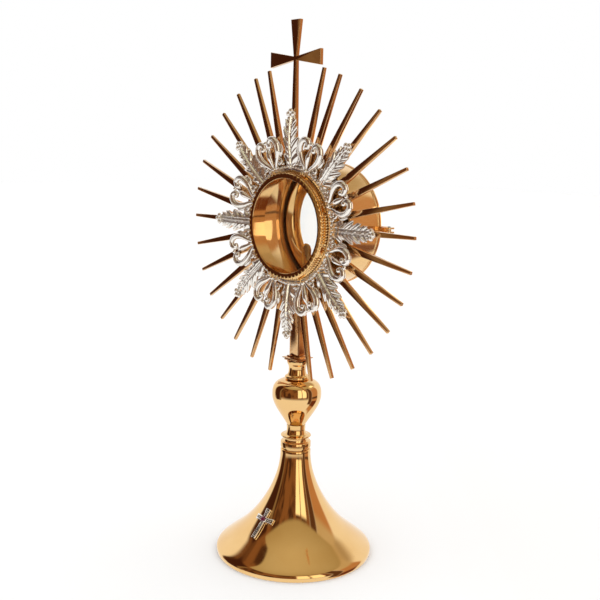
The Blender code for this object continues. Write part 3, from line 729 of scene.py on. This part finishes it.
def scroll_body(base):
    """Two thick C-scrolls that meet in balls at the outer middle, with a drop, curls and pearls between."""
    bodies = []
    for side in (-1, 1):
        loop = [
            (2.2, 55.6, 1.7, 1.5), (5.0, 60.4, 2.6, 2.0), (9.4, 65.4, 3.6, 2.5), (12.8, 71.0, 4.5, 2.9),
            (13.8, 77.0, 5.1, 3.05), (11.6, 82.4, 5.4, 3.0), (7.2, 84.2, 5.4, 2.8), (4.0, 81.8, 5.2, 2.5),
            (3.7, 78.4, 5.0, 2.2)]
        bodies.append(strand([(side * x, y, base + z, r) for x, y, z, r in loop], 18, 6, 0.9))
        bodies.append(bead((side * 5.0, 78.2, base + 5.6), 2.7, 0.95))
        groove_line = [(x, y, z + 0.86 * r, 0.5) for x, y, z, r in loop[2:7]]
        bodies.append(strand([(side * x, y, base + z, r) for x, y, z, r in groove_line], 8, 5))
        curl_radius, curl_turns = 3.0, 14
        curl = []
        for index in range(curl_turns + 1):
            share = index / curl_turns
            angle = math.radians(-120.0 + 400.0 * share)
            reach = curl_radius * (1.0 - 0.45 * share)
            curl.append((10.0 + reach * math.cos(angle), 61.4 + reach * math.sin(angle), 2.6 + 0.6 * share,
                         1.35 - 0.4 * share))
        bodies.append(strand([(side * x, y, base + z, r) for x, y, z, r in curl], 12, 2))
        leaflet = [(13.4, 65.2, 2.5, 0.9), (15.6, 68.0, 3.0, 1.7), (17.2, 72.0, 3.1, 1.4)]
        leaflet.append((17.2, 75.4, 3.0, 0.5))
        bodies.append(strand([(side * x, y, base + z, r) for x, y, z, r in leaflet], 10, 4))
        bodies.append(bead((side * 5.6, 56.0, base + 3.0), 1.7, 0.95))
        bodies.append(bead((side * 13.6, 57.4, base + 2.6), 1.5, 0.95))
    drop = [(0.0, 58.0, base + 2.6, 1.0), (0.0, 64.0, base + 3.8, 2.0), (0.0, 69.4, base + 4.8, 2.7),
            (0.0, 73.6, base + 4.8, 2.1), (0.0, 77.4, base + 4.6, 0.8)]
    bodies.append(strand(drop, 16, 6, 0.9))
    bodies.append(bead((0.0, 56.6, base + 3.2), 2.1, 0.95))
    bodies.append(bead((0.0, 83.0, base + 5.6), 1.9, 0.95))
    return gathered(bodies)


def root_band(base, sector):
    """Moulded strip under one leaf and one scroll, set with pearls."""
    inner, outer = SLEEVE_RADIUS + 2.0, 57.0
    trim = 0.25
    low = -sector / 4 + trim
    high = 3 * sector / 4 - trim
    pieces = 16
    angles = [math.radians(low + (high - low) * index / pieces) for index in range(pieces + 1)]
    outline = [(inner * math.sin(a), inner * math.cos(a)) for a in angles]
    outline += [(outer * math.sin(a), outer * math.cos(a)) for a in reversed(angles)]
    bodies = [softened(prism(outline, base, base + 1.7), 0.3)]
    pearl_count = 11
    pearl_radius = 55.4
    for index in range(pearl_count):
        a = math.radians(low + (high - low) * (index + 0.5) / pearl_count)
        bodies.append(bead((pearl_radius * math.sin(a), pearl_radius * math.cos(a), base + 1.8), 1.15))
    return gathered(bodies)


def build_ornament():
    count = 8
    sector = 360.0 / count
    turn = Matrix.Rotation(-math.radians(sector / 2), 4, "Z")
    bodies = [root_band(ORNAMENT_BACK, sector), leaf_body(ORNAMENT_BACK)]
    bodies.append(moved(scroll_body(ORNAMENT_BACK), turn))
    pattern = bpy.data.meshes.new("ornament_pattern")
    master = gathered(bodies)
    master.to_mesh(pattern)
    master.free()
    for index in range(count):
        body = bmesh.new()
        body.from_mesh(pattern)
        place = HEAD @ Matrix.Rotation(-math.radians(index * sector), 4, "Z")
        node = f"ornament_{index + 1}"
        add_piece(f"{node}_casting", body, silver, [node], place=place, sharp=60.0)
    bpy.data.meshes.remove(pattern)


# Luna chamber

def build_bezel():
    """Front ring with a fluted outer band and eight groups of claws over the ornament's root."""
    flutes, flute_depth = 120, 1.0
    ticks, tick_depth = 60, 0.5
    band_low, band_high = 14.0, BEZEL_FRONT + 0.1
    milled_above = 21.3       # from here to the front the band has ticks instead of flutes
    fluted_from = 49.0        # nothing is cut nearer the bore than this radius
    group_half, group_fade, between_groups = math.radians(16.0), math.radians(2.0), 0.2

    def flute(radius, height, angle):
        if radius < fluted_from or not band_low < height < band_high:
            return 0.0
        if height > milled_above:
            return tick_depth * (0.5 - 0.5 * math.cos(ticks * angle)) ** 6
        sector = math.tau / 8
        from_leaf = abs((angle + sector / 2) % sector - sector / 2)
        group = min(1.0, max(between_groups, (group_half - from_leaf) / group_fade))
        return flute_depth * group * (0.5 - 0.5 * math.cos(flutes * angle)) ** 1.2

    back, bore, lip_back = 3.6, 48.2, 20.8
    lip = [(OPENING_RADIUS, BEZEL_FRONT - 0.2), (OPENING_RADIUS + 0.2, BEZEL_FRONT), (48.9, BEZEL_FRONT)]
    band = [(49.6, BEZEL_FRONT - 0.15), (50.0, BEZEL_FRONT - 0.6), (50.0, 20.6)]
    band += [(50.9, 20.2), (51.1, 19.6), (50.9, 19.0), (50.3, 18.6), (50.3, 16.2)]
    band += [(51.6, 15.5), (51.8, 14.6), (51.6, 14.05)]
    tail = [(50.2, 13.9), (50.0, 13.4), (50.0, back), (bore, back)]
    tail += [(bore, lip_back), (OPENING_RADIUS, lip_back)]
    bodies = [turned(lip + band + tail, flutes * 8, flute)]
    claws, claw_root = 8, 50.6
    for index in range(claws):
        a = math.radians((index + 0.5) * 360.0 / claws)
        away = Vector((math.sin(a), math.cos(a), 0.0))
        across = Vector((math.cos(a), -math.sin(a), 0.0))
        for shift, reach, size in ((0.0, 5.0, 1.25), (-2.3, 3.2, 0.95), (2.3, 3.2, 0.95)):
            foot = away * claw_root + across * shift * 0.7 + Vector((0, 0, 15.0))
            knee = away * (claw_root + reach * 0.35) + across * shift + Vector((0, 0, 18.0))
            point = away * (claw_root + reach) + across * shift * 1.5 + Vector((0, 0, 19.0))
            bodies.append(strand([(*foot, size), (*knee, size * 0.8), (*point, 0.22)], 8, 4))
    add_piece("bezel_ring", gathered(bodies), gilt_bezel, ["front_bezel"], place=HEAD, sharp=34.0)


def build_drum():
    front_hole = SLEEVE_RADIUS + 0.4
    front = [(front_hole, DRUM_FRONT)] + arc((DRUM_RADIUS - 0.8, DRUM_FRONT - 0.8), 0.8, 90, 0, 5)
    roll = [(DRUM_RADIUS, DRUM_BACK + 3.0)] + arc((DRUM_RADIUS - 0.6, DRUM_BACK + 1.2), 1.1, 62, -62, 8)
    mouth = [(DRUM_BORE + 0.4, DRUM_BACK), (DRUM_BORE, DRUM_BACK + 0.6)]
    inside = [(DRUM_BORE, DRUM_FRONT - 1.5), (front_hole, DRUM_FRONT - 1.5)]
    body = turned(front + roll + mouth + inside, 200)
    add_piece("drum_shell", body, gilt_chamber, ["drum"], place=HEAD, sharp=50.0)


def hinge_ear(low, high):
    eye, arm_root, arm_front, arm_back = 2.5, 57.0, 47.5, 49.2
    end = arc((HINGE.x, HINGE.y), eye, -180.0, 0.0, 20)
    back_edge = [(HINGE.x + eye, arm_back - 2.8), (HINGE.x - 0.4, arm_back), (arm_root, arm_back)]
    front_edge = [(arm_root, arm_front), (HINGE.x - 3.6, arm_front), (HINGE.x - eye, arm_front - 1.3)]
    return softened(prism(end + back_edge + front_edge, low, high), 0.15)


def build_door():
    back = -49.5
    flange = [(60.0, DRUM_BACK - 0.3)] + arc((59.4, back + 0.6), 0.6, 0, -90, 4)
    flange += [(51.9, back), (51.5, back + 0.4)]
    seat = [(51.5, -42.6), (45.8, -42.6), (45.8, -41.6)]
    cone = [(54.6, -33.5), (54.9, -33.3), (56.2, -33.3), (56.4, -33.5)]
    plug = [(57.4, -43.5), (57.4, DRUM_BACK - 0.3)]
    ring = turned(flange + seat + cone + plug, 200)
    neck = [(0.0, back + 0.6), (2.3, back + 0.6), (2.3, back), (1.7, back - 0.5), (1.5, back - 1.9)]
    knob = turned(neck + arc((0.0, back - 4.8), 3.4, 60.0, -90.0, 18), 40)
    knob_reach = 55.8 * math.cos(math.pi / 4)
    knob = moved(knob, Matrix.Translation((-knob_reach, knob_reach, 0.0)))
    upright = Matrix.Translation((0, 0, CENTRE_HEIGHT)) @ Matrix.Rotation(math.pi / 2, 4, "X")
    bodies = [moved(gathered([ring, knob]), upright)]
    bodies.append(hinge_ear(HINGE.z - EAR_FAR, HINGE.z - EAR_NEAR))
    bodies.append(hinge_ear(HINGE.z + EAR_NEAR, HINGE.z + EAR_FAR))
    add_piece("door_frame", gathered(bodies), gilt_chamber, ["door_ring"], DOOR, sharp=50.0)


def build_hinge():
    half = 1.75
    bar_low = (DRUM_RADIUS + 0.1, HINGE.y - half, HINGE.z - EAR_FAR)
    bar_high = (HINGE.x - 3.4, HINGE.y + half, HINGE.z + EAR_FAR)
    bar = block(bar_low, bar_high)
    eye = arc((HINGE.x, HINGE.y), 2.2, -90.0, 90.0, 16)
    tongue = [(HINGE.x - 5.0, HINGE.y + 1.6), (HINGE.x - 5.0, HINGE.y - 1.6)]
    knuckle = prism(eye + tongue, HINGE.z - 0.9, HINGE.z + 0.9)
    body = gathered([softened(bar, 0.3), softened(knuckle, 0.12)])
    add_piece("hinge_block", body, painted_shade_gilt_bar, ["hinge_lug"])
    top = HINGE.z + 3.9
    outline = [(0.0, top), (1.2, top - 0.05), (1.7, top - 0.35), (1.8, top - 0.9), (1.0, top - 0.9)]
    outline += [(1.0, HINGE.z - 3.3), (0.0, HINGE.z - 3.3)]
    pin = moved(turned(outline, 32), Matrix.Translation((HINGE.x, HINGE.y, 0.0)))
    add_piece("hinge_pin_turning", pin, steel, ["hinge_pin"])


def along_depth(outline, front, back):
    """Extrude an (x, height) outline between two world Y values."""
    return moved(prism(outline, -back, -front), Matrix.Rotation(math.pi / 2, 4, "X"))


def domed(body, facing, steps):
    """Raise the flat face that looks along facing into a pillow, one (inset, rise) step at a time."""
    face = max(body.faces, key=lambda f: f.normal.dot(Vector(facing)))
    for reach, rise in steps:
        bmesh.ops.inset_individual(body, faces=[face], thickness=reach * MM, depth=rise * MM)
    return body


def build_lunula():
    runner = softened(block((-3.1, 4.0, 273.0), (3.1, 16.0, 274.8)), 0.2)
    neck = block((-1.3, 6.5, 274.0), (1.3, 13.0, 279.0))
    stem = softened(block((-3.0, 10.1, 276.8), (3.0, 11.5, 291.0)), 0.3)
    outer = arc((0.0, CENTRE_HEIGHT - 16.5), 24.2, 3.4, -183.4, 64)
    inner = arc((0.0, CENTRE_HEIGHT - 3.0), 26.3, -152.0, -28.0, 48)
    crescent = softened(along_depth(outer + inner, 10.0, 11.6), 0.4, 3)
    body = gathered([runner, neck, stem, crescent])
    add_piece("lunula_crescent", body, gilt_chamber, ["lunula"], CARRIER)
    foot = [(-6.5, 287.0), (-3.0, 283.0), (-3.0, 279.3)]
    tab = foot + [(-x, y) for x, y in reversed(foot)]
    outline = tab + arc((0.0, CENTRE_HEIGHT - 24.5), 6.5, 0.0, 180.0, 32)
    pillow = ((0.5, 0.5), (0.9, 0.35), (1.4, 0.15))
    clip = domed(along_depth(outline, 8.4, 9.0), (0.0, -1.0, 0.0), pillow)
    add_piece("lunula_tab", clip, gilt_chamber, ["lunula_clip"], CARRIER)


def dress_cad_nodes():
    """Pieces whose CAD shape is already right keep it and get their real material."""
    finishes = {
        "front_glass": glass,
        "door_glass": glass,
        "tie_rod": steel,
        "tie_nut": steel,
        "lunula_rail": gilt_chamber,
    }
    for node, material in finishes.items():
        for material_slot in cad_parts[node].material_slots:
            material_slot.material = material


# Studio

def build_camera():
    azimuth, elevation, roll = (math.radians(a) for a in (VIEW_AZIMUTH, VIEW_ELEVATION, VIEW_ROLL))
    flat = math.cos(elevation)
    back = Vector((math.sin(azimuth) * flat, -math.cos(azimuth) * flat, math.sin(elevation)))
    level = Vector((math.cos(azimuth), math.sin(azimuth), 0.0))
    upright = back.cross(level)
    right = level * math.cos(roll) + upright * math.sin(roll)
    up = upright * math.cos(roll) - level * math.sin(roll)
    centre = Vector((0.0, -RAY_PLANE, CENTRE_HEIGHT))
    place = centre + right * AIM_RIGHT - up * AIM_DOWN + back * VIEW_DISTANCE
    data = bpy.data.cameras.new("camera")
    data.lens = LENS
    data.sensor_width = 36.0
    data.clip_start = 0.01
    camera = bpy.data.objects.new("camera", data)
    camera.matrix_world = Matrix.Translation(place * MM) @ Matrix((right, up, back)).transposed().to_4x4()
    bpy.context.scene.collection.objects.link(camera)
    bpy.context.scene.camera = camera


def build_floor():
    size = 8.0
    mesh = bpy.data.meshes.new("floor")
    corners = [(-size, -size, 0), (size, -size, 0), (size, size, 0), (-size, size, 0)]
    mesh.from_pydata(corners, [], [(0, 1, 2, 3)])
    floor = bpy.data.objects.new("floor", mesh)
    bpy.context.scene.collection.objects.link(floor)
    floor.location.z = -0.0002
    material, nodes, shader = new_material("pale_paper")
    place = nodes.add("ShaderNodeTexCoord").outputs["Object"]
    fibre = nodes.noise(place, 700.0, 3.0)
    paper = nodes.mix(fibre, rgb(0.945, 0.945, 0.945), rgb(0.955, 0.955, 0.955))
    nodes.feed(shader.inputs["Base Color"], paper)
    shader.inputs["Roughness"].default_value = 0.9
    shader.inputs["Specular IOR Level"].default_value = 0.1
    mesh.materials.append(material)
    floor.visible_glossy = False


def build_world():
    """White studio. Only reflections see the room in it: dark and warm, with a ceiling and two panes.

    around is degrees to the right of the camera's side of the vessel, above is degrees over the horizon.
    """
    world = bpy.data.worlds.new("studio")
    bpy.context.scene.world = world
    world.use_nodes = True
    nodes = Nodes(world.node_tree)
    azimuth = math.radians(VIEW_AZIMUTH)
    direction = nodes.add("ShaderNodeTexCoord").outputs["Generated"]
    split = nodes.add("ShaderNodeSeparateXYZ", None, Vector=direction)
    x, y, z = split.outputs

    def dot(a, b):
        return nodes.math("ADD", nodes.math("MULTIPLY", x, a), nodes.math("MULTIPLY", y, b))

    toward = dot(math.sin(azimuth), -math.cos(azimuth))
    aside = dot(math.cos(azimuth), math.sin(azimuth))
    around = nodes.math("MULTIPLY", nodes.math("ARCTAN2", aside, toward), math.degrees(1.0))
    above = nodes.math("MULTIPLY", nodes.math("ARCSINE", z), math.degrees(1.0))

    def band(value, low, high, soft):
        rise = nodes.remap(value, low - soft, low + soft, smooth=True)
        fall = nodes.remap(value, high - soft, high + soft, 1.0, 0.0, smooth=True)
        return nodes.math("MULTIPLY", rise, fall)

    def patch(around_range, above_range, soft):
        return nodes.math("MULTIPLY", band(around, *around_range, soft), band(above, *above_range, soft))

    def paint(scene, around_range, above_range, soft, color):
        return nodes.mix(patch(around_range, above_range, soft), scene, color)

    white = rgb(1.0, 0.985, 0.96)
    shade_behind = rgb(0.5, 0.42, 0.3)
    dark_corner = rgb(0.06, 0.021, 0.012)
    olive_strip = rgb(0.27, 0.19, 0.11)
    dim_strip = rgb(0.12, 0.055, 0.026)
    window = rgb(1.5, 1.4, 1.1)
    streaks = nodes.noise(nodes.stretch(direction, (1.0, 1.0, 0.45)), 3.2, 3.0)
    clutter = nodes.remap(streaks, 0.42, 0.62, smooth=True)
    room = nodes.mix(clutter, rgb(0.075, 0.032, 0.016), rgb(0.26, 0.12, 0.05))
    column = nodes.mix(band(above, 34.0, 90.0, 6.0), rgb(0.56, 0.30, 0.15), rgb(0.62, 0.52, 0.36))
    column = nodes.mix(band(above, -44.0, -24.0, 2.0), column, rgb(0.16, 0.045, 0.02))
    column = nodes.mix(band(above, -16.0, -13.0, 1.0), column, rgb(0.12, 0.06, 0.03))
    ceiling = nodes.mix(nodes.remap(above, 48.0, 80.0), rgb(0.46, 0.38, 0.22), rgb(0.66, 0.6, 0.42))
    scene = paint(white, (100.0, 200.0), (36.0, 90.0), 6.0, shade_behind)
    scene = paint(scene, (-120.0, 57.0), (-16.0, 90.0), 3.5, room)
    scene = paint(scene, (-112.0, -85.0), (-22.0, 45.0), 2.5, dark_corner)
    scene = paint(scene, (-85.0, -78.0), (-22.0, 40.0), 2.5, olive_strip)
    scene = paint(scene, (75.0, 112.0), (-58.0, 70.0), 4.0, column)
    scene = paint(scene, (57.0, 75.0), (-40.0, 60.0), 3.0, dim_strip)
    scene = paint(scene, (-86.0, 114.0), (48.0, 120.0), 2.0, ceiling)
    left_pane = patch((6.0, 24.0), (-12.0, 44.0), 1.5)
    right_pane = patch((27.0, 46.0), (-12.0, 44.0), 2.5)
    scene = nodes.mix(nodes.math("ADD", left_pane, right_pane, True), scene, window)
    light_path = nodes.add("ShaderNodeLightPath").outputs
    studio_light, backdrop = rgb(1.12, 1.12, 1.12), rgb(1.0, 1.0, 1.0)
    scene = nodes.mix(light_path["Is Diffuse Ray"], scene, studio_light)
    scene = nodes.mix(light_path["Is Camera Ray"], scene, backdrop)
    background = world.node_tree.nodes["Background"]
    nodes.feed(background.inputs["Color"], scene)


def build_light():
    """Small soft panel behind and to the right of the chamber, seen in its polished bore."""
    data = bpy.data.lights.new("bore_panel", "AREA")
    data.shape = "RECTANGLE"
    data.size, data.size_y = 0.078, 0.066
    data.energy = 0.0205
    data.color = (1.0, 0.9, 0.7)
    panel = bpy.data.objects.new("bore_panel", data)
    bpy.context.scene.collection.objects.link(panel)
    place = Vector((76.0, 142.0, 347.0)) * MM
    target = Vector((-52.0, 5.0, 320.0)) * MM
    panel.location = place
    panel.rotation_euler = (place - target).to_track_quat("Z", "Y").to_euler()
    panel.visible_camera = False


def build_studio():
    build_camera()
    build_light()
    build_floor()
    build_world()
    bpy.context.scene.view_settings.view_transform = "Standard"


build_foot()
build_stem()
build_post()
build_foot_cross()
build_rays()
build_cross_ray()
build_sunburst_ring()
build_ornament()
build_bezel()
build_drum()
build_door()
build_hinge()
build_lunula()
dress_cad_nodes()
build_studio()
